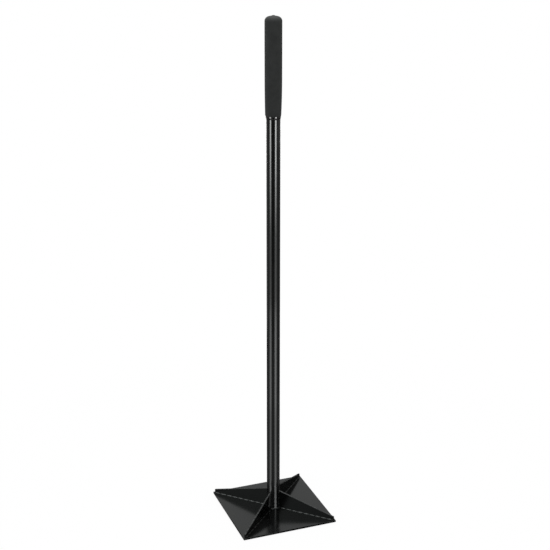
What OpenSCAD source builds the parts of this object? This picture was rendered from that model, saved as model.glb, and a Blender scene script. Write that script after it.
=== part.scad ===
// Hand tamper: a square steel plate with a tubular handle stood on its middle,
// four corner ribs welded between tube and plate, and a soft grip over the top.
// Millimetres. The origin is the middle of the plate's working face, +Z runs up the handle.

/* [Base plate] */
// Side of the square plate
plate_side = 203.2; // [150:0.1:300]
// Thickness of the plate
plate_t = 4; // [3:0.1:10]
// Corner radius of the plate in plan
plate_corner_r = 0.6; // [0.5:0.1:8]

/* [Handle tube] */
// Outside diameter of the tube
tube_od = 27.2; // [20:0.1:42]
// Wall of the tube
tube_wall = 1.9; // [1:0.1:5]
// Length of the tube, from the plate to its open end
tube_len = 1020; // [600:1:1500]

/* [Corner ribs] */
// Thickness of a rib
rib_t = 3.2; // [2:0.1:8]
// Height of a rib where it meets the tube
rib_h = 40; // [20:0.5:90]
// Height of a rib's blunt tip
rib_tip_h = 7.5; // [2:0.1:15]
// Distance along the diagonal from the edges of a rib's tip to the plate's edges
rib_inset = 3; // [1:0.1:20]

/* [Weld beads] */
// Leg of the ring weld at the tube's foot
foot_weld_leg = 2.4; // [1.5:0.1:8]
// Leg of the welds along the ribs
rib_weld_leg = 1.6; // [1:0.1:5]

/* [Grip] */
// Length of the grip, from its rim to the top of its crown
grip_len = 187; // [120:1:300]
// Wall of the grip over its full part
grip_wall = 3; // [2:0.1:8]
// Wall of the grip at its rim
grip_rim_wall = 1.8; // [1.6:0.1:2.6]
// Length over which the grip swells from its rim to its full part
grip_swell_len = 80; // [20:1:95]
// Thickness of the closed end above the end plug, at the crown
grip_end_t = 7.5; // [5:0.1:20]
// Height of the domed end, from the straight side to the top of its crown
grip_dome_h = 10.2; // [9.6:0.1:16]
// Radius of the dome's shoulder, where it turns into the straight side
grip_shoulder_r = 9; // [4:0.1:9.8]
// Radius of the moulding nub on the crown
grip_nub_r = 2.8; // [1:0.1:5]
// Height of the moulding nub over the crown
grip_nub_h = 0.9; // [0.3:0.1:2]
// Radius of the rim's outer edge
grip_rim_r = 1; // [0.3:0.1:1.5]

/* [Collar] */
// Height of the collar under the grip
collar_h = 6; // [3:0.1:20]
// Wall of the collar at its top, against the grip's rim
collar_top_wall = 1.2; // [1:0.1:1.6]
// Wall of the collar at its lower edge
collar_low_wall = 0.5; // [0.4:0.1:1]

/* [End plug] */
// Depth of the plug inside the tube
plug_depth = 18; // [8:0.5:40]
// Wall of the plug's skirt
plug_wall = 1.8; // [1:0.1:3]
// Thickness of the flange that sits on the tube's end
plug_flange_t = 2; // [1:0.1:5]

/* [Fits] */
// Gap between the tube and what is pushed onto it or into it
slip_gap = 0.05; // [0.02:0.01:0.2]
// Gap between a weld bead and the pieces that it lies against
weld_gap = 0.05; // [0.02:0.01:0.2]
// Room between the foot weld and the clipped corner of a rib
clip_room = 0.4; // [0.2:0.1:2]

/* [Hidden] */

$fn = 96;
swell_steps = 8;
// How far a cutting body runs past the face that it opens
cut_over = 1;

// Angles of the four ribs, turned from +X
front_right_angle = -45;
back_right_angle = 45;
back_left_angle = 135;
front_left_angle = 225;

tube_r = tube_od / 2;
tube_bore_r = tube_r - tube_wall;
tube_top = plate_t + tube_len;

// Where a rib starts at the tube and ends near the plate's corner, along the diagonal
rib_start = tube_r + slip_gap;
rib_end = plate_side / sqrt(2) - rib_t / 2 - rib_inset;
rib_clip = foot_weld_leg + clip_room;

// The welds along the plate stop short of the tip, so that they stay on the plate
plate_weld_start = rib_start + rib_clip;
plate_weld_end = rib_end - rib_weld_leg;
tube_weld_h = rib_h - rib_clip - rib_weld_leg;

sleeve_r = tube_r + slip_gap;
grip_full_r = tube_r + grip_wall;
grip_low_r = tube_r + grip_rim_wall;
grip_seat = tube_top + plug_flange_t;
crown_top = grip_seat + grip_end_t;
grip_top = crown_top + grip_nub_h;
grip_foot = crown_top - grip_len;
shoulder_z = crown_top - grip_dome_h;
full_z = grip_foot + grip_swell_len;

// The crown's arc runs on into the shoulder's arc without a crease, at crown_edge from the axis
shoulder_x = grip_full_r - grip_shoulder_r;
crown_rise = grip_dome_h - grip_shoulder_r;
crown_r = (shoulder_x ^ 2 + grip_dome_h ^ 2 - grip_shoulder_r ^ 2) / (2 * crown_rise);
crown_edge = shoulder_x * crown_r / (crown_r - grip_shoulder_r);
nub_cap_r = (grip_nub_r ^ 2 + grip_nub_h ^ 2) / (2 * grip_nub_h);

paint_black = [0.11, 0.11, 0.11];
bead_black = [0.16, 0.16, 0.16];
foam_black = [0.19, 0.19, 0.19];
gloss_black = [0.06, 0.06, 0.06];

// Square with round corners, centred
module rounded_square(side, r) {
    inner = side - 2 * r;
    square([side, inner], center = true);
    square([inner, side], center = true);
    for (x = [-1, 1], y = [-1, 1])
        translate([x * inner / 2, y * inner / 2]) circle(r);
}

// Section of a fillet weld: two legs on the axes and a slightly swollen face
module fillet_section(leg) {
    back = 1.2 * leg;
    intersection() {
        square(leg);
        translate([-back, -back]) circle(norm([leg + back, back]));
    }
}

module base_plate() {
    color(paint_black)
        linear_extrude(plate_t) rounded_square(plate_side, plate_corner_r);
}

module handle_tube() {
    color(paint_black)
        translate([0, 0, plate_t])
            difference() {
                cylinder(h = tube_len, r = tube_r);
                translate([0, 0, -cut_over]) cylinder(h = tube_len + 2 * cut_over, r = tube_bore_r);
            }
}

// Ring weld in the corner between the tube and the plate
module tube_foot_weld() {
    color(bead_black)
        translate([0, 0, plate_t])
            rotate_extrude()
                translate([tube_r + weld_gap, 0]) fillet_section(foot_weld_leg);
}

// A rib stands on the plate's diagonal, its inner lower corner clipped to clear the foot weld
module rib(angle) {
    outline = [
        [rib_start + rib_clip, 0],
        [rib_end, 0],
        [rib_end, rib_tip_h],
        [rib_start, rib_h],
        [rib_start, rib_clip]
    ];
    color(paint_black)
        rotate(angle)
            translate([0, 0, plate_t])
                rotate([90, 0, 0])
                    linear_extrude(rib_t, center = true) polygon(outline);
}

// The two welds between a rib's faces and the plate
module plate_weld(angle) {
    color(bead_black)
        rotate(angle)
            for (side = [0, 1])
                mirror([0, side, 0])
                    translate([plate_weld_start, rib_t / 2, plate_t])
                        rotate([90, 0, 90])
                            linear_extrude(plate_weld_end - plate_weld_start)
                                fillet_section(rib_weld_leg);
}

// The two upright welds between a rib's faces and the tube
module tube_weld(angle) {
    corner = [sqrt(tube_r * tube_r - rib_t * rib_t / 4), rib_t / 2];
    color(bead_black)
        rotate(angle)
            for (side = [0, 1])
                mirror([0, side, 0])
                    translate([0, 0, plate_t + rib_clip])
                        linear_extrude(tube_weld_h)
                            difference() {
                                intersection() {
                                    translate(corner) circle(rib_weld_leg);
                                    translate([0, rib_t / 2]) square(tube_od);
                                }
                                circle(tube_r + weld_gap);
                            }
}

// Cup-shaped plug pushed into the tube's open end
module tube_end_plug() {
    skirt_r = tube_bore_r - slip_gap;
    color(gloss_black)
        translate([0, 0, tube_top])
            difference() {
                union() {
                    cylinder(h = plug_flange_t, r = tube_r);
                    translate([0, 0, -plug_depth]) cylinder(h = plug_depth, r = skirt_r);
                }
                translate([0, 0, -plug_depth - cut_over])
                    cylinder(h = plug_depth + cut_over, r = skirt_r - plug_wall);
            }
}

// Gloss ring that closes the grip's lower end against the tube
module grip_collar() {
    outline = [
        [sleeve_r, -collar_h],
        [tube_r + collar_low_wall, -collar_h],
        [tube_r + collar_top_wall, 0],
        [sleeve_r, 0]
    ];
    color(gloss_black)
        translate([0, 0, grip_foot])
            rotate_extrude() polygon(outline);
}

// Half section of the grip as a full body, from the axis out
module grip_section() {
    rim_top = grip_foot + grip_rim_r;
    swell = [
        for (i = [0 : swell_steps])
            let (t = 1 - i / swell_steps)
            [grip_full_r - (grip_full_r - grip_low_r) * t * t, full_z - (full_z - rim_top) * t]
    ];
    polygon(concat(
        [[0, grip_foot], [grip_low_r - grip_rim_r, grip_foot], [grip_low_r - grip_rim_r, rim_top]],
        swell,
        [[grip_full_r, shoulder_z], [0, shoulder_z]]
    ));
    intersection() {
        translate([grip_low_r - grip_rim_r, rim_top]) circle(grip_rim_r);
        translate([grip_low_r - grip_rim_r, grip_foot]) square(grip_rim_r);
    }
    intersection() {
        translate([0, crown_top - crown_r]) circle(crown_r);
        translate([0, shoulder_z]) square([crown_edge, grip_dome_h]);
    }
    intersection() {
        translate([0, grip_top - nub_cap_r]) circle(nub_cap_r);
        translate([0, crown_top - grip_nub_h]) square([grip_nub_r, 2 * grip_nub_h]);
    }
    intersection() {
        translate([shoulder_x, shoulder_z]) circle(grip_shoulder_r);
        translate([crown_edge, shoulder_z]) square(grip_shoulder_r);
    }
}

// Soft sleeve with a closed, crowned end, pushed down over the plug
module grip() {
    color(foam_black)
        difference() {
            rotate_extrude() grip_section();
            translate([0, 0, grip_foot - cut_over])
                cylinder(h = grip_seat - grip_foot + cut_over, r = sleeve_r);
        }
}

base_plate();
handle_tube();
tube_foot_weld();
rib(front_right_angle);  // rib_front_right
rib(back_right_angle);  // rib_back_right
rib(back_left_angle);  // rib_back_left
rib(front_left_angle);  // rib_front_left
plate_weld(front_right_angle);  // plate_weld_front_right
plate_weld(back_right_angle);  // plate_weld_back_right
plate_weld(back_left_angle);  // plate_weld_back_left
plate_weld(front_left_angle);  // plate_weld_front_left
tube_weld(front_right_angle);  // tube_weld_front_right
tube_weld(back_right_angle);  // tube_weld_back_right
tube_weld(back_left_angle);  // tube_weld_back_left
tube_weld(front_left_angle);  // tube_weld_front_left
tube_end_plug();
grip_collar();
grip();
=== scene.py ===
"""Hand tamper: a square steel plate, a tubular handle, four welded corner ribs and a soft grip.

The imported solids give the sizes. The pieces here carry the finish: rolled sheet edges,
rippled weld beads, the moulded grip and collar, their paints, and a plain studio.
Lengths are metres, and angles are degrees until they are used.
"""

import math
import random

import bmesh
import bpy
from mathutils import Matrix, Vector


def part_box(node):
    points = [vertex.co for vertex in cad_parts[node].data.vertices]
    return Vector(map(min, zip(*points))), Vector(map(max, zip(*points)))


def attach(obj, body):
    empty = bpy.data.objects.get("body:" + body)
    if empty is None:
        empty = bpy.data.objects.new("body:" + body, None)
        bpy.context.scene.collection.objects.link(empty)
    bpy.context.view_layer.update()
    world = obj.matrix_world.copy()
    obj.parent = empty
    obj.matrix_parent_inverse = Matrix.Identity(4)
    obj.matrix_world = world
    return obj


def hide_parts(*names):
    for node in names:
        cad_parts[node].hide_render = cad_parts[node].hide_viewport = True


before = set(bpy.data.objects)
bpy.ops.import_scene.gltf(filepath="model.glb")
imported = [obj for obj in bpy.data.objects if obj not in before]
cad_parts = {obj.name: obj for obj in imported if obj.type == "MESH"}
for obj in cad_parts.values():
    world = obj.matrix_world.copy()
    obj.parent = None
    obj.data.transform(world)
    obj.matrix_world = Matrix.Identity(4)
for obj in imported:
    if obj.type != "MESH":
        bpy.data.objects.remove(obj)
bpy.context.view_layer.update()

MM = 0.001
# A hair's breadth, to tell points apart and to lay one surface just off another
HAIR = 0.02 * MM
RIB_ANGLES = {"front_right": -45, "back_right": 45, "back_left": 135, "front_left": 225}

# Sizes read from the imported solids


def points_along(node, angle):
    """The node's points, turned back so that its rib runs along +X."""
    back = Matrix.Rotation(-math.radians(angle), 3, "Z")
    return [back @ vertex.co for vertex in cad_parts[node].data.vertices]


def half_section(node):
    """The node's points as (radius, height) about the handle's axis."""
    return [(vertex.co.xy.length, vertex.co.z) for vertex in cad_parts[node].data.vertices]


def span(points, axis):
    """Lowest and highest place of the points along one axis."""
    places = [point[axis] for point in points]
    return min(places), max(places)


PLATE_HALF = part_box("base_plate")[1].x
PLATE_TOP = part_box("base_plate")[1].z

TUBE_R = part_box("handle_tube")[1].x
TUBE_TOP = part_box("handle_tube")[1].z
TUBE_BORE_R = min(radius for radius, height in half_section("handle_tube"))

rib_points = points_along("rib_back_right", RIB_ANGLES["back_right"])
RIB_START, RIB_END = span(rib_points, 0)
RIB_T = 2 * span(rib_points, 1)[1]
RIB_TOP = span(rib_points, 2)[1]
RIB_TIP_TOP = max(point.z for point in rib_points if point.x > RIB_END - HAIR)
RIB_CLIP = min(point.z for point in rib_points if point.x < RIB_START + HAIR) - PLATE_TOP

seam_points = points_along("plate_weld_back_right", RIB_ANGLES["back_right"])
SEAM_START, SEAM_END = span(seam_points, 0)
SEAM_LEG = span(seam_points, 2)[1] - PLATE_TOP

upright_points = points_along("tube_weld_back_right", RIB_ANGLES["back_right"])
UPRIGHT_LOW, UPRIGHT_TOP = span(upright_points, 2)
FOOT_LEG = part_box("tube_foot_weld")[1].z - PLATE_TOP

GRIP_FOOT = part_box("grip")[0].z
GRIP_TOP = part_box("grip")[1].z
GRIP_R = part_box("grip")[1].x
GRIP_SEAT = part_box("tube_end_plug")[1].z
GRIP_RIM_TALL = 2 * MM
grip_points = half_section("grip")
full_heights = [height for radius, height in grip_points if radius > GRIP_R - HAIR]
GRIP_FULL_LOW, GRIP_FULL_HIGH = min(full_heights), max(full_heights)
GRIP_RIM_R = max(radius for radius, height in grip_points if height < GRIP_FOOT + GRIP_RIM_TALL)

COLLAR_LOW, COLLAR_HIGH = (corner.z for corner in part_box("grip_collar"))
COLLAR_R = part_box("grip_collar")[1].x

# Sizes of the finished forms, most of them too fine for the solids

PLATE_CORNER_R = 0.6 * MM
SHEET_ROUND = 0.45 * MM
RIB_ROUND = 0.4 * MM
TUBE_ROUND = 0.3 * MM
SLEEVE_GAP = 0.05 * MM
SLEEVE_BORE_R = TUBE_R + SLEEVE_GAP
# How far the paint is rubbed on the rounded edges, and how strongly the sheared tops of the ribs are
# lightened as a painted highlight
ROUND_RUB = 0.5
SHEARED_TOP_HIGHLIGHT = 1.0

GRIP_SHOULDER_R = 9 * MM
GRIP_RIM_ROUND = 1.0 * MM
GRIP_MOUTH_CHAMFER = 0.3 * MM
# What lies within the bore's radius and this margin stays in place
GRIP_BORE_MARGIN = 0.2 * MM
# The soft wall: how far its rim sits off centre, how far its hold is out of round, and how many
# radians that turns in a metre of height
GRIP_SHIFT = 0.4 * MM
GRIP_LOBE = 0.05 * MM
GRIP_LOBE_TURN = 9
NUB_R = 2.8 * MM
NUB_H = 0.9 * MM
# The moulding nub from its top to its foot, as shares of its radius and of its height
NUB_OUTLINE = [(0, 0), (0.5, 0.06), (0.8, 0.3), (1, 0.72), (1.15, 1.02)]
NUB_FOOT = 1.4

COLLAR_DROP = 0.7 * MM
COLLAR_CHAMFER = 2.0 * MM
COLLAR_LIP = 0.3 * MM
COLLAR_LIP_LEAN = -35
COLLAR_MOUTH = 0.1 * MM
COLLAR_FULLNESS = 7

BEAD_SINK = 0.15 * MM
BEAD_PITCH = 1.5 * MM
BEAD_RUN = 13.5 * MM
BEAD_LEAN = 0.45 * BEAD_PITCH
# The bead's swollen face is struck from this many legs behind the corner
BEAD_BACK = 1.2
# How much a ripple's pitch, a ripple's fullness and a run's length differ by chance
PITCH_RANGE = (0.85, 1.2)
FULL_RANGE = (0.92, 1.0)
RUN_RANGE = (0.9, 1.1)
# How full a bead is between ripples, between runs and at its ends, and how soon it fills from there
RIPPLE_FILL = (0.92, 0.7)
RUN_FILL = (0.35, 0.6)
END_FILL = (0.45, 0.5)
# First seeds of the chance in the beads
PLATE_BEAD_SEED = 10
TUBE_BEAD_SEED = 12
SEEDS_PER_RIB = 4
FOOT_BEAD_SEED = 40

# The photograph's camera, from the plate's corners and the handle's width, with azimuth 0 towards -Y
PHOTO_PIXELS = 550
FOCAL_PIXELS = 1175
SENSOR_MM = 36
CAMERA_AZIMUTH = -20.58
CAMERA_DISTANCE = 2.206
CAMERA_HEIGHT = 1.298
CAMERA_DOWN = 19.29
CAMERA_PAN = 0.0714
CAMERA_ROLL = -0.043

# Steps that round forms are drawn in
TURN_STEPS = 96
CORNER_STEPS = 5
ROLLED_STEPS = 3
TUBE_RINGS = 24
CROWN_STEPS = 8
SHOULDER_STEPS = 12
HOLD_STEPS = 18
SWELL_STEPS = 24
RIM_STEPS = 5
BELLY_STEPS = 10
LOW_LIP_STEPS = 3
TOP_LIP_STEPS = 4
BEAD_RIPPLE_STEPS = 6
BEAD_FACE_STEPS = 6

# Edges stay crisp where faces turn by more than these angles
TUBE_CRISP = 40
MOULDED_CRISP = 60
BEAD_CRISP = 70


# Mesh makers


def link_piece(name, mesh):
    """A smooth-shaded object of the mesh."""
    mesh.shade_smooth()
    piece = bpy.data.objects.new(name, mesh)
    bpy.context.scene.collection.objects.link(piece)
    return piece


def piece_from(name, points, faces):
    """A smooth-shaded object from points and faces."""
    mesh = bpy.data.meshes.new(name)
    mesh.from_pydata(points, [], faces)
    return link_piece(name, mesh)


def settle_normals(piece):
    """Lets the broad flat faces keep flat shading beside their rounded edges."""
    weigh = piece.modifiers.new("flat faces lead", "WEIGHTED_NORMAL")
    weigh.mode = "FACE_AREA"
    weigh.weight = 100
    weigh.keep_sharp = True


def sharpen(piece, angle):
    """Keeps edges crisp where the faces turn by more than the angle."""
    piece.data.set_sharp_from_angle(angle=math.radians(angle))


def mark(piece, domain, name, values):
    """Stores one number per face or point for the paint to read."""
    layer = piece.data.attributes.new(name, "FLOAT", domain)
    layer.data.foreach_set("value", values)


def filled(share, least, curve):
    """Rises from its least value to 1 as the share goes from 0 to 1."""
    return least + (1 - least) * share**curve


def arc(centre, radius, start, end, steps):
    """Points on an arc in the half-section plane, from one angle to another."""
    angles = [math.radians(start + (end - start) * i / steps) for i in range(steps + 1)]
    return [(centre[0] + radius * math.cos(a), centre[1] + radius * math.sin(a)) for a in angles]


def turn(name, section, closed, shape=None):
    """Turns a half-section of (radius, height) points about the handle's axis.

    A closed section makes a ring. An open one starts and ends on the axis.
    shape gets a point and its angle, and gives the point's new place.
    """
    points = []
    rows = []
    for radius, height in section:
        if radius < HAIR and not closed:
            rows.append([len(points)] * TURN_STEPS)
            points.append((0, 0, height))
            continue
        rows.append(range(len(points), len(points) + TURN_STEPS))
        for i in range(TURN_STEPS):
            angle = 2 * math.pi * i / TURN_STEPS
            point = Vector((radius * math.cos(angle), radius * math.sin(angle), height))
            points.append(shape(point, angle) if shape else point)
    pairs = list(zip(rows, rows[1:]))
    if closed:
        pairs.append((rows[-1], rows[0]))
    faces = []
    for upper, lower in pairs:
        for i in range(TURN_STEPS):
            j = (i + 1) % TURN_STEPS
            loop = [upper[i], lower[i], lower[j], upper[j]]
            faces.append(list(dict.fromkeys(loop)))
    return piece_from(name, points, faces)


# Plate and ribs


def square_ring(half, corner_r, height):
    """Points round a square with round corners."""
    reach = half - corner_r
    ring = []
    for corner in range(4):
        middle = math.radians(45 + 90 * corner)
        x = math.copysign(reach, math.cos(middle))
        y = math.copysign(reach, math.sin(middle))
        for out_x, out_y in arc((x, y), corner_r, 90 * corner, 90 * corner + 90, CORNER_STEPS):
            ring.append((out_x, out_y, height))
    return ring


def make_plate():
    """Sheared square sheet with rolled edges, built as stacked rings."""
    rolled = []
    for i in range(ROLLED_STEPS + 1):
        angle = math.radians(90 * i / ROLLED_STEPS)
        rolled.append((SHEET_ROUND * (1 - math.sin(angle)), SHEET_ROUND * (1 - math.cos(angle))))
    rings = rolled + [(inset, PLATE_TOP - rise) for inset, rise in reversed(rolled)]
    points = []
    for inset, height in rings:
        points += square_ring(PLATE_HALF - inset, PLATE_CORNER_R - inset, height)
    around = 4 * (CORNER_STEPS + 1)
    faces = [list(reversed(range(around)))]
    worn = [0.0]
    for row in range(len(rings) - 1):
        low = row * around
        high = low + around
        for i in range(around):
            j = (i + 1) % around
            faces.append([low + i, low + j, high + j, high + i])
            worn.append(0.0 if row == ROLLED_STEPS else ROUND_RUB)
    faces.append(list(range(len(points) - around, len(points))))
    worn.append(0.0)
    plate = piece_from("tamping_plate", points, faces)
    mark(plate, "FACE", "edge", worn)
    settle_normals(plate)
    return plate


def make_rib(name, angle):
    """Flat-bar rib with eased edges, its inner lower corner clipped over the foot weld."""
    outline = [
        (RIB_START + RIB_CLIP, PLATE_TOP),
        (RIB_END, PLATE_TOP),
        (RIB_END, RIB_TIP_TOP),
        (RIB_START, RIB_TOP),
        (RIB_START, PLATE_TOP + RIB_CLIP),
    ]
    sheet = bmesh.new()
    layer = sheet.faces.layers.float.new("edge")
    near = [sheet.verts.new((x, -RIB_T / 2, z)) for x, z in outline]
    far = [sheet.verts.new((x, RIB_T / 2, z)) for x, z in outline]
    sheet.faces.new(near)
    sheet.faces.new(list(reversed(far)))
    for i in range(len(outline)):
        j = (i + 1) % len(outline)
        sheet.faces.new((near[j], near[i], far[i], far[j]))
    eased = bmesh.ops.bevel(
        sheet,
        geom=sheet.edges[:],
        offset=RIB_ROUND,
        segments=2,
        profile=0.5,
        affect="EDGES",
        clamp_overlap=True,
    )
    for face in eased["faces"]:
        face[layer] = ROUND_RUB
    bmesh.ops.recalc_face_normals(sheet, faces=sheet.faces[:])
    sheared_top = max(sheet.faces, key=lambda face: face.normal.z * face.calc_area())
    # The sheared top is lightened in full: a painted highlight along the rib's top
    sheared_top[layer] = SHEARED_TOP_HIGHLIGHT
    turn_to = Matrix.Rotation(math.radians(angle), 3, "Z")
    bmesh.ops.rotate(sheet, verts=sheet.verts[:], matrix=turn_to)
    mesh = bpy.data.meshes.new(name)
    sheet.to_mesh(mesh)
    sheet.free()
    rib = link_piece(name, mesh)
    settle_normals(rib)
    return rib


# Weld beads


def bead_rows(length, leg, seed, ends):
    """Places along a bead, each with how full it is: rippled, and thinner where two runs meet."""
    dice = random.Random(seed)
    rows = []
    place = 0.0
    run_start = 0.0
    run_length = BEAD_RUN
    while place < length:
        pitch = BEAD_PITCH * dice.uniform(*PITCH_RANGE)
        full = dice.uniform(*FULL_RANGE)
        for i in range(BEAD_RIPPLE_STEPS):
            part = i / BEAD_RIPPLE_STEPS
            at = place + pitch * part
            if at >= length:
                break
            if at > run_start + run_length:
                run_start += run_length
                run_length = BEAD_RUN * dice.uniform(*RUN_RANGE)
            ripple = filled(math.sin(math.pi * part), *RIPPLE_FILL)
            run = filled(math.sin(math.pi * (at - run_start) / run_length), *RUN_FILL)
            rows.append([at, full * ripple * run])
        place += pitch
    rows.append([length, rows[-1][1]])
    if ends:
        for row in rows:
            near_end = min(row[0], length - row[0]) / leg
            row[1] *= filled(min(1.0, near_end), *END_FILL)
    return rows


def bead_section(leg, full):
    """Swollen fillet between two legs, as points (along the first leg, along the second, lean)."""
    back = BEAD_BACK * leg
    radius = math.hypot(leg + back, back)
    start = math.degrees(math.atan2(back, leg + back))
    swell = arc((-back, -back), radius, start, 90 - start, BEAD_FACE_STEPS)
    face = []
    for i, (a, b) in enumerate(swell):
        face.append((full * a, full * b, BEAD_LEAN * math.sin(math.pi * i / BEAD_FACE_STEPS)))
    corner = (-BEAD_SINK, -BEAD_SINK, 0)
    return [corner, (face[0][0], -BEAD_SINK, 0), *face, (-BEAD_SINK, face[-1][1], 0)]


def bead_faces(first, rows, size, loop):
    """Faces over a bead's rows of points, with end faces unless it closes on itself."""
    faces = []
    for row in range(rows if loop else rows - 1):
        here = first + row * size
        there = first + (row + 1) % rows * size
        for k in range(size):
            n = (k + 1) % size
            faces.append([here + k, here + n, there + n, there + k])
    if not loop:
        last = first + (rows - 1) * size
        faces.append([first + k for k in range(size)])
        faces.append([last + k for k in reversed(range(size))])
    return faces


def make_beads(name, runs, leg, seed, loop=False):
    """One piece of one or more beads.

    Each run is (length, place), and place gives a point from the distance along the bead
    and the two leg distances.
    """
    points = []
    faces = []
    crest = []
    for number, (length, place) in enumerate(runs):
        rows = bead_rows(length, leg, seed + number, not loop)
        if loop:
            rows.pop()
        first = len(points)
        for at, full in rows:
            section = bead_section(leg, full)
            for a, b, lean in section:
                moved = at + lean if loop else min(at + lean, length)
                points.append(place(moved, a, b))
                crest.append(full)
        faces += bead_faces(first, len(rows), len(section), loop)
    beads = piece_from(name, points, faces)
    shell = bmesh.new()
    shell.from_mesh(beads.data)
    bmesh.ops.recalc_face_normals(shell, faces=shell.faces[:])
    shell.to_mesh(beads.data)
    shell.free()
    mark(beads, "POINT", "crest", crest)
    sharpen(beads, BEAD_CRISP)
    return beads


def plate_seam(angle, side):
    """A bead run in the corner between a rib's face and the plate."""
    turn_to = Matrix.Rotation(math.radians(angle), 3, "Z")

    def place(at, out, up):
        return turn_to @ Vector((SEAM_START + at, side * (RIB_T / 2 + out), PLATE_TOP + up))

    return SEAM_END - SEAM_START, place


def upright_seam(angle, side):
    """A bead run up the corner between a rib's face and the tube."""
    turn_to = Matrix.Rotation(math.radians(angle), 3, "Z")
    wall = math.sqrt(TUBE_R**2 - RIB_T**2 / 4)

    def place(at, out, away):
        aside = RIB_T / 2 + out
        tube_face = math.sqrt(max(TUBE_R**2 - aside**2, 0))
        reach = max(wall + away, tube_face - BEAD_SINK)
        return turn_to @ Vector((reach, side * aside, UPRIGHT_LOW + at))

    return UPRIGHT_TOP - UPRIGHT_LOW, place


def foot_ring():
    """A bead run round the tube's foot."""
    middle = TUBE_R + FOOT_LEG / 2

    def place(at, out, up):
        angle = at / middle
        radius = TUBE_R + out
        return Vector((radius * math.cos(angle), radius * math.sin(angle), PLATE_TOP + up))

    return 2 * math.pi * middle, place


# Tube, grip and collar


def make_tube():
    """Drawn tube with broken edges at both ends and its open bore."""
    low = PLATE_TOP + TUBE_ROUND
    high = TUBE_TOP - TUBE_ROUND
    inner = TUBE_BORE_R + TUBE_ROUND
    outer = TUBE_R - TUBE_ROUND
    section = [(TUBE_BORE_R, low), (TUBE_BORE_R, high), (inner, TUBE_TOP), (outer, TUBE_TOP)]
    section += [(TUBE_R, high + (low - high) * i / TUBE_RINGS) for i in range(TUBE_RINGS + 1)]
    section += [(outer, PLATE_TOP), (inner, PLATE_TOP)]
    tube = turn("handle_shaft", section, True)
    sharpen(tube, TUBE_CRISP)
    return tube


def grip_section():
    """The grip's half-section, from the nub down the outside and back up the bore."""
    crown_top = GRIP_TOP - NUB_H
    dome_h = crown_top - GRIP_FULL_HIGH
    shoulder_x = GRIP_R - GRIP_SHOULDER_R
    crown_r = (shoulder_x**2 + dome_h**2 - GRIP_SHOULDER_R**2) / (2 * (dome_h - GRIP_SHOULDER_R))
    crown_end = math.degrees(math.acos(shoulder_x / (crown_r - GRIP_SHOULDER_R)))
    crown_start = math.degrees(math.acos(NUB_FOOT * NUB_R / crown_r))
    section = [(out * NUB_R, GRIP_TOP - down * NUB_H) for out, down in NUB_OUTLINE]
    section += arc((0, crown_top - crown_r), crown_r, crown_start, crown_end, CROWN_STEPS)
    shoulder = (shoulder_x, GRIP_FULL_HIGH)
    section += arc(shoulder, GRIP_SHOULDER_R, crown_end, 0, SHOULDER_STEPS)[1:]
    for i in range(1, HOLD_STEPS):
        down = (GRIP_FULL_HIGH - GRIP_FULL_LOW) * i / HOLD_STEPS
        section.append((GRIP_R, GRIP_FULL_HIGH - down))
    rim_top = GRIP_FOOT + GRIP_RIM_ROUND
    for i in range(SWELL_STEPS + 1):
        t = i / SWELL_STEPS
        radius = GRIP_R - (GRIP_R - GRIP_RIM_R) * t * t
        section.append((radius, GRIP_FULL_LOW + (rim_top - GRIP_FULL_LOW) * t))
    rim = (GRIP_RIM_R - GRIP_RIM_ROUND, rim_top)
    section += arc(rim, GRIP_RIM_ROUND, 0, -90, RIM_STEPS)[1:]
    section += [(SLEEVE_BORE_R + GRIP_MOUTH_CHAMFER, GRIP_FOOT)]
    section += [(SLEEVE_BORE_R, GRIP_FOOT + GRIP_MOUTH_CHAMFER)]
    section += [(SLEEVE_BORE_R, GRIP_SEAT), (0, GRIP_SEAT)]
    return section


def ease_grip(point, angle):
    """Sets the soft wall a little off centre at the rim, and its hold not quite round."""
    if point.xy.length < SLEEVE_BORE_R + GRIP_BORE_MARGIN:
        return point
    low = max(0.0, (GRIP_FULL_LOW - point.z) / (GRIP_FULL_LOW - GRIP_FOOT))
    lobe = GRIP_LOBE * (math.sin(2 * angle + GRIP_LOBE_TURN * point.z) - 1)
    out = Vector((math.cos(angle), math.sin(angle), 0))
    to_left = math.radians(CAMERA_AZIMUTH + 180)
    aside = Vector((math.cos(to_left), math.sin(to_left), 0))
    return point + out * lobe + aside * GRIP_SHIFT * low**2


def make_grip():
    """Soft closed sleeve: crowned end with its nub, straight hold and bowed swell to the rim."""
    grip = turn("soft_grip", grip_section(), False, ease_grip)
    sharpen(grip, MOULDED_CRISP)
    return grip


def make_collar():
    """Gloss ring under the grip, bellied, with a matte cut face under its lower lip."""
    low_r = COLLAR_R - COLLAR_DROP
    belly_low = COLLAR_LOW + COLLAR_CHAMFER
    belly_high = COLLAR_HIGH - COLLAR_LIP
    section = [(SLEEVE_BORE_R, COLLAR_LOW), (SLEEVE_BORE_R + COLLAR_MOUTH, COLLAR_LOW)]
    section += arc((low_r - COLLAR_LIP, belly_low), COLLAR_LIP, COLLAR_LIP_LEAN, 0, LOW_LIP_STEPS)
    for i in range(1, BELLY_STEPS):
        t = i / BELLY_STEPS
        out = COLLAR_DROP * (1 - (1 - t) ** COLLAR_FULLNESS)
        section.append((low_r + out, belly_low + (belly_high - belly_low) * t))
    section += arc((COLLAR_R - COLLAR_LIP, belly_high), COLLAR_LIP, 0, 90, TOP_LIP_STEPS)
    section.append((SLEEVE_BORE_R, COLLAR_HIGH))
    collar = turn("grip_ring", list(reversed(section)), True)
    for face in collar.data.polygons:
        face.material_index = 1 if face.center.z < belly_low - COLLAR_LIP / 2 else 0
    sharpen(collar, MOULDED_CRISP)
    return collar


# Node makers

# Places of the colour sockets on a Mix node
MIX_SHARE = 0
MIX_FIRST = 6
MIX_SECOND = 7
MIX_RESULT = 2
# Most of a noise lies between these values
NOISE_SPREAD = (0.3, 0.7)


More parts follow.
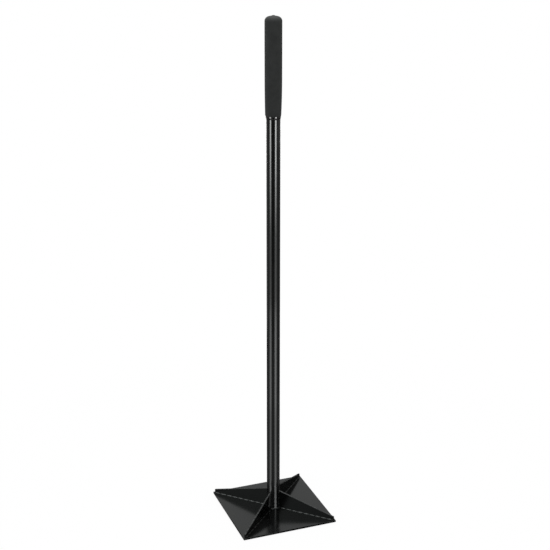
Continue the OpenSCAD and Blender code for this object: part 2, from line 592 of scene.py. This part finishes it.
class Nodes:
    """A node tree with short calls to add and join nodes."""

    def __init__(self, tree):
        self.tree = tree

    def add(self, kind, **settings):
        """A new node with its settings."""
        node = self.tree.nodes.new(kind)
        for name, value in settings.items():
            setattr(node, name, value)
        return node

    def join(self, source, target):
        """Joins an output to an input."""
        self.tree.links.new(source, target)

    def give(self, target, value):
        """Sets a plain number or colour on a socket, or joins another socket to it."""
        if isinstance(value, bpy.types.NodeSocket):
            self.join(value, target)
        else:
            target.default_value = value

    def math(self, kind, first, second, clamp=False):
        """Reckons with two values, each a number or a socket."""
        node = self.add("ShaderNodeMath", operation=kind, use_clamp=clamp)
        self.give(node.inputs[0], first)
        self.give(node.inputs[1], second)
        return node.outputs[0]

    def noise(self, where, scale, detail, rough):
        """Soft noise over the surface."""
        node = self.add("ShaderNodeTexNoise")
        self.join(where, node.inputs["Vector"])
        self.give(node.inputs["Scale"], scale)
        self.give(node.inputs["Detail"], detail)
        self.give(node.inputs["Roughness"], rough)
        return node.outputs["Fac"]

    def remap(self, value, spread, to=(0, 1)):
        """Stretches the spread over another range, and cuts off what lies outside it."""
        node = self.add("ShaderNodeMapRange", clamp=True)
        self.join(value, node.inputs["Value"])
        ends = ("From Min", "From Max", "To Min", "To Max")
        for name, number in zip(ends, (*spread, *to)):
            self.give(node.inputs[name], number)
        return node.outputs["Result"]

    def mix(self, share, first, second):
        """Mix of two colours."""
        node = self.add("ShaderNodeMix", data_type="RGBA")
        self.give(node.inputs[MIX_SHARE], share)
        self.give(node.inputs[MIX_FIRST], first)
        self.give(node.inputs[MIX_SECOND], second)
        return node.outputs[MIX_RESULT]

    def place(self):
        """Place on the piece, in metres."""
        return self.add("ShaderNodeTexCoord").outputs["Object"]

    def choose(self, share, first, second, output):
        """Sends out the first shader where the share is 0, and the second where it is 1."""
        node = self.add("ShaderNodeMixShader")
        self.join(share, node.inputs[0])
        self.join(first.outputs[0], node.inputs[1])
        self.join(second.outputs[0], node.inputs[2])
        self.join(node.outputs[0], self.tree.nodes[output].inputs["Surface"])


# Effects that several finishes share


def effect_group(name, inputs, outputs):
    """An empty node group with number inputs, and outputs that vary over the surface."""
    tree = bpy.data.node_groups.new(name, "ShaderNodeTree")
    for label, value in inputs:
        socket = tree.interface.new_socket(label, in_out="INPUT", socket_type="NodeSocketFloat")
        socket.default_value = value
    for label in outputs:
        tree.interface.new_socket(label, in_out="OUTPUT", socket_type="NodeSocketFloat")
    nodes = Nodes(tree)
    given = nodes.add("NodeGroupInput").outputs
    result = nodes.add("NodeGroupOutput").inputs
    return nodes, given, result


def make_sprayed_film():
    """Sprayed paint: the fine orange peel as a height, and slow patches of thicker film."""
    grit_scale = 2600
    grit_share = 0.18
    inputs = [("Peel Scale", 700), ("Patch Scale", 30)]
    nodes, given, result = effect_group("sprayed film", inputs, ["Height", "Patch"])
    where = nodes.place()
    peel = nodes.noise(where, given["Peel Scale"], detail=2, rough=0.45)
    grit = nodes.noise(where, grit_scale, detail=1, rough=0.5)
    nodes.join(nodes.math("ADD", peel, nodes.math("MULTIPLY", grit, grit_share)), result["Height"])
    patch = nodes.noise(where, given["Patch Scale"], detail=3, rough=0.55)
    nodes.join(nodes.remap(patch, NOISE_SPREAD), result["Patch"])
    return nodes.tree


def make_edge_rub_and_highlight():
    """Thin and rubbed film on the marked edges, and a painted highlight on the sheared rib tops, broken
    up along their length.
    """
    break_spread = (0.42, 0.6)
    least_rub = 0.15
    inputs = [("Cover", 0.5), ("Break Scale", 160)]
    nodes, given, result = effect_group("edge rub and highlight", inputs, ["Mask"])
    edge = nodes.add("ShaderNodeAttribute", attribute_name="edge").outputs["Fac"]
    broken = nodes.noise(nodes.place(), given["Break Scale"], detail=4, rough=0.65)
    share = nodes.math("MULTIPLY", edge, nodes.remap(broken, break_spread, (least_rub, 1)))
    nodes.join(nodes.math("MULTIPLY", share, given["Cover"], clamp=True), result["Mask"])
    return nodes.tree


def make_settled_dust():
    """Fine dust that lies on what faces up, in soft clouds and specks."""
    lying_spread = (0.25, 1)
    cloud_spread = (0.38, 0.72)
    least_cloud = 0.1
    speck_scale = 1500
    speck_spread = (0.66, 0.76)
    most_speck = 0.8
    inputs = [("Amount", 0.3), ("Cloud Scale", 24)]
    nodes, given, result = effect_group("settled dust", inputs, ["Mask"])
    normal = nodes.add("ShaderNodeSeparateXYZ")
    nodes.join(nodes.add("ShaderNodeNewGeometry").outputs["Normal"], normal.inputs[0])
    up = nodes.remap(normal.outputs["Z"], lying_spread)
    where = nodes.place()
    clouds = nodes.noise(where, given["Cloud Scale"], detail=5, rough=0.6)
    specks = nodes.noise(where, speck_scale, detail=2, rough=0.6)
    cloud = nodes.remap(clouds, cloud_spread, (least_cloud, 1))
    speck = nodes.remap(specks, speck_spread, (0, most_speck))
    share = nodes.math("MULTIPLY", up, nodes.math("ADD", cloud, speck))
    nodes.join(nodes.math("MULTIPLY", share, given["Amount"], clamp=True), result["Mask"])
    return nodes.tree


SPRAYED_FILM = make_sprayed_film()
EDGE_RUB_AND_HIGHLIGHT = make_edge_rub_and_highlight()
SETTLED_DUST = make_settled_dust()


# Paints, plastics and rubber

PLATE_BLACK = (0.0010, 0.0011, 0.00105, 1)
PLATE_THIN = (0.0016, 0.0017, 0.00165, 1)
TUBE_BLACK = (0.0028, 0.0030, 0.0029, 1)
TUBE_THIN = (0.0042, 0.0044, 0.0043, 1)
PAINT_SHINE = (0.93, 1.0, 0.98, 1)
TUBE_SHINE = (0.97, 1.0, 0.99, 1)
# Grey of rubbed paint, also laid as a painted highlight on the rib tops and the weld crests
RUB_AND_HIGHLIGHT_GREY = (0.06, 0.062, 0.061, 1)
DUST_GREY = (0.10, 0.099, 0.095, 1)
FOAM_BLACK = (0.0214, 0.0229, 0.0224, 1)
FOAM_GREY = (0.0300, 0.0319, 0.0313, 1)
RING_BLACK = (0.0018, 0.0018, 0.0018, 1)
RING_GREY = (0.0030, 0.0030, 0.0030, 1)
CUT_BLACK = (0.006, 0.006, 0.006, 1)
CUT_GREY = (0.01, 0.01, 0.01, 1)
PLUG_BLACK = (0.02, 0.02, 0.02, 1)
PLUG_GREY = (0.03, 0.03, 0.03, 1)


class Finish(Nodes):
    """The nodes of a material with a Principled shader."""

    def __init__(self, name):
        self.material = bpy.data.materials.new(name)
        self.material.use_nodes = True
        super().__init__(self.material.node_tree)
        self.shader = self.tree.nodes["Principled BSDF"]

    def even(self, name, value):
        """Sets a value that is the same all over the surface."""
        self.shader.inputs[name].default_value = value

    def vary(self, name, source):
        """Joins a value that changes over the surface."""
        self.join(source, self.shader.inputs[name])

    def so_far(self, name):
        """What feeds the shader's socket now."""
        return self.shader.inputs[name].links[0].from_socket

    def effect(self, tree, **values):
        """Places a shared effect with this material's own values, and gives its outputs."""
        node = self.add("ShaderNodeGroup", node_tree=tree)
        for name, value in values.items():
            node.inputs[name.replace("_", " ")].default_value = value
        return node.outputs

    def lay(self, mask, colour):
        """Lays a colour over the base colour, as far as the mask says."""
        self.vary("Base Color", self.mix(mask, self.so_far("Base Color"), colour))

    def relief(self, height, depth, strength):
        """Gives the surface its fine relief."""
        bump = self.add("ShaderNodeBump")
        bump.inputs["Distance"].default_value = depth
        bump.inputs["Strength"].default_value = strength
        self.join(height, bump.inputs["Height"])
        self.vary("Normal", bump.outputs["Normal"])

    def film(self, colours, peel, patch, roughness, depth, strength):
        """Lays a film whose colour and roughness differ in slow patches, with its orange peel."""
        film = self.effect(SPRAYED_FILM, Peel_Scale=peel, Patch_Scale=patch)
        self.vary("Base Color", self.mix(film["Patch"], *colours))
        self.vary("Roughness", self.remap(film["Patch"], (0, 1), roughness))
        self.relief(film["Height"], depth, strength)

    def dust(self, amount, clouds):
        """Lays dust on what faces up, and gives its mask."""
        mask = self.effect(SETTLED_DUST, Amount=amount, Cloud_Scale=clouds)["Mask"]
        self.lay(mask, DUST_GREY)
        return mask


def make_plate_paint():
    """Satin black enamel on the plate and ribs."""
    dust_dulls = 1.2
    paint = Finish("satin black enamel")
    colours = (PLATE_BLACK, PLATE_THIN)
    paint.film(colours, peel=620, patch=26, roughness=(0.14, 0.2), depth=0.04 * MM, strength=0.5)
    # Rubbed grey on the rounded edges, and a painted highlight on the ribs' sheared tops
    paint.lay(paint.effect(EDGE_RUB_AND_HIGHLIGHT, Cover=0.5, Break_Scale=170)["Mask"], RUB_AND_HIGHLIGHT_GREY)
    dulled = paint.math("MULTIPLY", paint.dust(amount=0.01, clouds=20), dust_dulls)
    paint.vary("Roughness", paint.math("ADD", paint.so_far("Roughness"), dulled, clamp=True))
    paint.even("IOR", 1.32)
    paint.even("Specular Tint", PAINT_SHINE)
    return paint.material


def make_tube_paint():
    """Gloss black enamel on the drawn tube."""
    paint = Finish("gloss black tube enamel")
    colours = (TUBE_BLACK, TUBE_THIN)
    paint.film(colours, peel=500, patch=40, roughness=(0.11, 0.145), depth=0.005 * MM, strength=0.3)
    paint.dust(amount=0.05, clouds=30)
    paint.even("IOR", 1.5)
    paint.even("Specular Tint", TUBE_SHINE)
    return paint.material


def make_weld_paint():
    """The plate's enamel over the weld beads, thinner and lightened on the crests of the ripples: worn
    film with a painted highlight.
    """
    crest_spread = (0.8, 1.0)
    most_bare_and_highlight = 0.22
    paint = Finish("enamel over weld")
    colours = (PLATE_BLACK, PLATE_THIN)
    paint.film(colours, peel=900, patch=90, roughness=(0.16, 0.26), depth=0.03 * MM, strength=0.5)
    crest = paint.add("ShaderNodeAttribute", attribute_name="crest").outputs["Fac"]
    # Fuller parts of the beads turn grey: worn film, and a painted highlight along the seams
    paint.lay(paint.remap(crest, crest_spread, (0, most_bare_and_highlight)), RUB_AND_HIGHLIGHT_GREY)
    paint.dust(amount=0.02, clouds=60)
    paint.even("IOR", 1.3)
    paint.even("Specular Tint", PAINT_SHINE)
    return paint.material


def make_foam():
    """Matte moulded foam rubber with a fine open skin."""
    pore_scale = 1500
    pore_spread = (0.05, 0.5)
    cloud_scale = 55
    grain_scale = 420
    foam = Finish("matte foam rubber")
    where = foam.place()
    cloud = foam.remap(foam.noise(where, cloud_scale, detail=4, rough=0.6), NOISE_SPREAD)
    foam.vary("Base Color", foam.mix(cloud, FOAM_BLACK, FOAM_GREY))
    foam.vary("Roughness", foam.remap(cloud, (0, 1), (0.55, 0.68)))
    foam.dust(amount=0.12, clouds=40)
    pores = foam.add("ShaderNodeTexVoronoi", feature="F1")
    foam.join(where, pores.inputs["Vector"])
    pores.inputs["Scale"].default_value = pore_scale
    pit = foam.remap(pores.outputs["Distance"], pore_spread)
    grain = foam.noise(where, grain_scale, detail=3, rough=0.6)
    foam.relief(foam.math("ADD", pit, grain), depth=0.12 * MM, strength=0.5)
    foam.even("IOR", 1.2)
    foam.even("Sheen Weight", 0.02)
    foam.even("Sheen Roughness", 0.6)
    return foam.material


def make_collar_gloss():
    """Gloss black moulded ring."""
    gloss = Finish("gloss black ring")
    colours = (RING_BLACK, RING_GREY)
    gloss.film(colours, peel=300, patch=80, roughness=(0.08, 0.12), depth=0.008 * MM, strength=0.3)
    gloss.even("IOR", 1.52)
    return gloss.material


def make_collar_cut():
    """Matte cut face under the ring's lower lip."""
    cut = Finish("matte ring edge")
    colours = (CUT_BLACK, CUT_GREY)
    cut.film(colours, peel=900, patch=120, roughness=(0.5, 0.6), depth=0.02 * MM, strength=0.4)
    cut.even("IOR", 1.15)
    return cut.material


def make_plug_plastic():
    """Matte moulded plastic of the end plug."""
    plastic = Finish("matte plug plastic")
    colours = (PLUG_BLACK, PLUG_GREY)
    plastic.film(colours, peel=900, patch=60, roughness=(0.45, 0.55), depth=0.03 * MM, strength=0.4)
    return plastic.material


# Pieces on the part


def dress(piece, material, slot, lit_by, *nodes):
    """Gives a piece its finish and its lights, and lets it stand for its solids."""
    piece.data.materials.append(material)
    if lit_by:
        lit_by.objects.link(piece)
    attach(piece, "root")
    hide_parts(*nodes)


# What the strip lights and the key light of the studio fall on
gloss_pieces = bpy.data.collections.new("gloss pieces")
plate_pieces = bpy.data.collections.new("plate pieces")

plate_paint = make_plate_paint()
tube_paint = make_tube_paint()
weld_paint = make_weld_paint()

dress(make_plate(), plate_paint, "black_paint", plate_pieces, "base_plate")
dress(make_tube(), tube_paint, "black_paint", gloss_pieces, "handle_tube")
for number, (corner, angle) in enumerate(RIB_ANGLES.items()):
    rib = make_rib(f"corner_rib_{corner}", angle)
    dress(rib, plate_paint, "black_paint", plate_pieces, f"rib_{corner}")
    seed = PLATE_BEAD_SEED + SEEDS_PER_RIB * number
    seams = [plate_seam(angle, side) for side in (-1, 1)]
    beads = make_beads(f"plate_bead_{corner}", seams, SEAM_LEG, seed)
    dress(beads, weld_paint, "painted_weld", plate_pieces, f"plate_weld_{corner}")
    seed = TUBE_BEAD_SEED + SEEDS_PER_RIB * number
    uprights = [upright_seam(angle, side) for side in (-1, 1)]
    beads = make_beads(f"tube_bead_{corner}", uprights, SEAM_LEG, seed)
    dress(beads, weld_paint, "painted_weld", plate_pieces, f"tube_weld_{corner}")
ring = make_beads("foot_bead", [foot_ring()], FOOT_LEG, FOOT_BEAD_SEED, loop=True)
dress(ring, weld_paint, "painted_weld", plate_pieces, "tube_foot_weld")
grip = make_grip()
dress(grip, make_foam(), "grip_rubber", None, "grip")
collar = make_collar()
dress(collar, make_collar_gloss(), "collar_plastic", gloss_pieces, "grip_collar")
collar.data.materials.append(make_collar_cut())

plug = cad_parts["tube_end_plug"]
plug.data.materials.clear()
plug.data.materials.append(make_plug_plastic())


# Studio

WHITE = (1, 1, 1, 1)
WORLD_LIGHT = 0.75
FLOOR_PALE = (0.9, 0.9, 0.9, 1)
FLOOR_HALF = 6.0
FLOOR_DROP = 0.3 * MM
# The floor glows less near the part, so that its shadow shows there
SHADOW_REACH = (0.25, 0.9)
SHADOW_GLOW = 0.86

GROUND_NEAR = 0.09
GROUND_CLOSE = 0.6
GROUND_MID = 1.0
GROUND_FAR = 5.9
SECTOR_STEP = 6
# Painted shade of the ground: glowing sheets darker than the white floor, which gloss paint mirrors,
# turned from the camera's side: from, to, near, far, tone
GROUND_SHADE = {
    "ground close in front": (-38, 38, GROUND_NEAR, 0.9, 0.25),
    "ground in front": (-38, 38, 0.9, 1.6, 0.12),
    "far ground in front": (-38, 38, 1.6, GROUND_FAR, 0.04),
    "ground at the right": (38, 97, GROUND_NEAR, GROUND_FAR, 0.25),
    "ground close at the far right": (97, 126, GROUND_NEAR, GROUND_CLOSE, 0.16),
    "painted shade at the far right": (97, 126, GROUND_CLOSE, GROUND_FAR, 0.04),
    "ground close behind at the right": (126, 165, GROUND_NEAR, GROUND_MID, 0.08),
    "ground behind at the right": (126, 165, GROUND_MID, 3.0, 0.18),
    "far ground behind at the right": (126, 165, 3.0, GROUND_FAR, 0.36),
    "painted shade behind": (165, 195, GROUND_NEAR, GROUND_FAR, 0.1),
    "ground close behind at the left": (195, 250, GROUND_NEAR, GROUND_MID, 0.06),
    "ground behind at the left": (195, 250, GROUND_MID, GROUND_FAR, 0.33),
    "ground at the left": (250, 322, GROUND_NEAR, GROUND_FAR, 0.25),
}
WALL_FAR = 2.5
# Painted shade of walls: glowing sheets which gloss paint mirrors, turned from the camera's side: from,
# to, foot, top, tone
WALL_SHADE = {
    "painted shade wall at the right": (35, 150, 0.2, 2.2, 0.4),
    "low painted shade wall behind": (165, 195, 0, 0.7, 0.08),
}

STRIP_FAR = 1.3
STRIP_FOOT = 0.24
STRIP_FULL = 0.5
STRIP_HIGH = 1.9
STRIP_WIDTH = 0.45
STRIP_FADE_STEPS = 6
# How bright a strip is at its foot, and how it fades towards it
STRIP_FADE = (0.13, 1.3)
# Strip lights: turned from the camera's side, radiance, and their glow on the ground
FRONT_STRIPS = {"left strip": (-48, 9.1, 2.1), "right strip": (40, 12.4, 2.6)}
BACK_STRIP = (180, 5.0, 1.4)
GLOW_HALF = 17
# Rings of the glow on the ground: near, far, share of the strip's glow
GLOW_RINGS = [(GROUND_NEAR, 0.5, 0.87), (0.5, 1.2, 1.2), (1.2, GROUND_FAR, 0.53)]
PLATE_GLOW_REACH = 0.095
PLATE_GLOW_STEPS = 6
PLATE_GLOW_SHARE = 0.85

OVERHEAD_Z = 2.2
OVERHEAD_SIDE = 1.2
OVERHEAD_RADIANCE = 4.5
KEY_TURNED = -54
KEY_FAR = 1.34
KEY_Z = 1.12
KEY_WIDE = 0.9
KEY_TALL = 1.6
KEY_RADIANCE = 6.5


def heading(turned):
    """Level direction from the handle, turned from the camera's side as seen from above."""
    azimuth = math.radians(CAMERA_AZIMUTH + turned)
    return Vector((math.sin(azimuth), -math.cos(azimuth), 0))


def facing(direction):
    """The turn that makes a light shine in a direction."""
    return direction.to_track_quat("-Z", "Y").to_euler()


def add_camera():
    """Stands the camera where the photograph was taken."""
    data = bpy.data.cameras.new("photo camera")
    data.sensor_width = SENSOR_MM
    data.lens = FOCAL_PIXELS / PHOTO_PIXELS * SENSOR_MM
    camera = bpy.data.objects.new("photo camera", data)
    bpy.context.scene.collection.objects.link(camera)
    camera.location = heading(0) * CAMERA_DISTANCE + Vector((0, 0, CAMERA_HEIGHT))
    camera.rotation_euler = (
        math.radians(90 - CAMERA_DOWN),
        math.radians(CAMERA_ROLL),
        math.radians(CAMERA_AZIMUTH - CAMERA_PAN),
    )
    bpy.context.scene.camera = camera


def add_softbox(name, place, rotation, width, tall, radiance):
    """Flat soft light. Radiance is what it shows in a mirror."""
    data = bpy.data.lights.new(name, "AREA")
    data.shape = "RECTANGLE"
    data.size = width
    data.size_y = tall
    data.energy = radiance * math.pi * width * tall
    light = bpy.data.objects.new(name, data)
    bpy.context.scene.collection.objects.link(light)
    light.location = place
    light.rotation_euler = rotation
    light.visible_camera = False
    return light


def keep_to_gloss(light):
    """Lets a light show only as a mirror image in the gloss pieces."""
    light.visible_diffuse = False
    light.light_linking.receiver_collection = gloss_pieces


def stage_nodes(name):
    """A material without a shader yet, and its nodes."""
    material = bpy.data.materials.new(name)
    material.use_nodes = True
    tree = material.node_tree
    tree.nodes.remove(tree.nodes["Principled BSDF"])
    return material, Nodes(tree)


def add_mirrored(name, start, end, rims, tone):
    """Glowing sector between two rims, each (reach, height), of an even tone, a sheet of painted shade
    or painted light.

    Only gloss paint mirrors it, and only from the part's side.
    """
    steps = max(1, math.floor((end - start) / SECTOR_STEP + 0.5))
    points = []
    for i in range(steps + 1):
        out = heading(start + (end - start) * i / steps)
        points += [out * reach + Vector((0, 0, height)) for reach, height in rims]
    faces = [[2 * i, 2 * i + 1, 2 * i + 3, 2 * i + 2] for i in range(steps)]
    sector = piece_from(name, points, faces)
    material, nodes = stage_nodes(name)
    # The sheet glows at its tone though it is no lamp: painted shade for the ground and walls, painted
    # light for a strip's glow
    glow = nodes.add("ShaderNodeEmission")
    glow.inputs["Strength"].default_value = tone
    clear = nodes.add("ShaderNodeBsdfTransparent")
    from_behind = nodes.add("ShaderNodeNewGeometry").outputs["Backfacing"]
    nodes.choose(from_behind, glow, clear, "Material Output")
    sector.data.materials.append(material)
    sector.visible_camera = False
    sector.visible_diffuse = False
    sector.visible_shadow = False
    sector.visible_transmission = False
    return sector


def add_ground_sector(name, start, end, near, far, height, tone):
    """Glowing sector on the ground round the part, of an even tone: painted shade of the ground, and a
    strip's painted glow.
    """
    return add_mirrored(name, start, end, [(near, height), (far, height)], tone)


def add_strip(name, turned, radiance, glow):
    """Upright strip that gloss paint mirrors as a line down the handle, with its glow on the ground.

    It is one panel, with short panels below it that fade towards its foot.
    """
    out = heading(turned)
    step = (STRIP_FULL - STRIP_FOOT) / STRIP_FADE_STEPS
    panels = [(STRIP_FULL, STRIP_HIGH, 1.0)]
    for i in range(STRIP_FADE_STEPS):
        low = STRIP_FOOT + i * step
        panels.append((low, low + step, filled((i + 0.5) / STRIP_FADE_STEPS, *STRIP_FADE)))
    for low, high, share in panels:
        place = out * STRIP_FAR + Vector((0, 0, (low + high) / 2))
        panel = add_softbox(name, place, facing(-out), STRIP_WIDTH, high - low, share * radiance)
        keep_to_gloss(panel)
    sides = (turned - GLOW_HALF, turned + GLOW_HALF)
    for near, far, share in GLOW_RINGS:
        keep_to_gloss(add_ground_sector(f"{name} glow", *sides, near, far, HAIR, share * glow))


def add_plate_glow(name, turned, glow):
    """A strip's glow on the plate: flat lights that fan out from where the tube mirrors them."""
    along = heading(turned)
    wall = TUBE_R * heading(turned / 2) + Vector((0, 0, PLATE_TOP + HAIR))
    lying = (math.pi, 0, math.radians(CAMERA_AZIMUTH + turned))
    spread = math.radians(GLOW_HALF)
    steps = PLATE_GLOW_STEPS
    ends = [PLATE_GLOW_REACH * (i / steps) ** 2 for i in range(steps + 1)]
    for near, far in zip(ends, ends[1:]):
        middle = (near + far) / 2
        place = wall + along * middle
        width = spread * (TUBE_R + 2 * middle)
        panel = add_softbox(f"{name} plate glow", place, lying, width, far - near, glow)
        keep_to_gloss(panel)


def seen_directly(nodes):
    """1 for what the lens, a shiny surface or glass sees, 0 for the light that falls on things."""
    path = nodes.add("ShaderNodeLightPath").outputs
    seen = nodes.math("MAXIMUM", path["Is Camera Ray"], path["Is Glossy Ray"])
    return nodes.math("MAXIMUM", seen, path["Is Transmission Ray"])


def add_world():
    """White surroundings that light the part at a plain level."""
    world = bpy.data.worlds.new("plain studio")
    bpy.context.scene.world = world
    world.use_nodes = True
    nodes = Nodes(world.node_tree)
    light = world.node_tree.nodes["Background"]
    light.inputs["Color"].default_value = WHITE
    light.inputs["Strength"].default_value = WORLD_LIGHT
    white = nodes.add("ShaderNodeBackground")
    white.inputs["Color"].default_value = WHITE
    white.inputs["Strength"].default_value = 1.0
    nodes.choose(seen_directly(nodes), light, white, "World Output")


def add_floor():
    """Pale floor that looks white and keeps the part's shadow."""
    corners = [(-1, -1), (1, -1), (1, 1), (-1, 1)]
    points = [(x * FLOOR_HALF, y * FLOOR_HALF, -FLOOR_DROP) for x, y in corners]
    floor = piece_from("floor", points, [[0, 1, 2, 3]])
    material, nodes = stage_nodes("pale floor")
    matte = nodes.add("ShaderNodeBsdfDiffuse")
    matte.inputs["Color"].default_value = FLOOR_PALE
    glow = nodes.add("ShaderNodeEmission")
    glow.inputs["Strength"].default_value = 1.0
    away = nodes.add("ShaderNodeVectorMath", operation="LENGTH")
    nodes.join(nodes.place(), away.inputs[0])
    whiteness = nodes.remap(away.outputs["Value"], SHADOW_REACH, (SHADOW_GLOW, 1))
    share = nodes.math("MULTIPLY", seen_directly(nodes), whiteness)
    nodes.choose(share, matte, glow, "Material Output")
    floor.data.materials.append(material)


add_camera()
add_world()
add_floor()
for name, (start, end, near, far, tone) in GROUND_SHADE.items():
    add_ground_sector(name, start, end, near, far, -HAIR, tone)
for name, (start, end, foot, top, tone) in WALL_SHADE.items():
    add_mirrored(name, start, end, [(WALL_FAR, foot), (WALL_FAR, top)], tone)
for name, (turned, radiance, glow) in FRONT_STRIPS.items():
    add_strip(name, turned, radiance, glow)
    add_plate_glow(name, turned, PLATE_GLOW_SHARE * glow)
add_strip("back strip", *BACK_STRIP)
above = Vector((0, 0, OVERHEAD_Z))
down = Vector((0, 0, -1))
add_softbox("overhead box", above, facing(down), OVERHEAD_SIDE, OVERHEAD_SIDE, OVERHEAD_RADIANCE)
key_place = heading(KEY_TURNED) * KEY_FAR + Vector((0, 0, KEY_Z))
key = add_softbox("left key box", key_place, facing(-key_place), KEY_WIDE, KEY_TALL, KEY_RADIANCE)
key.light_linking.receiver_collection = plate_pieces

bpy.context.scene.view_settings.view_transform = "Standard"
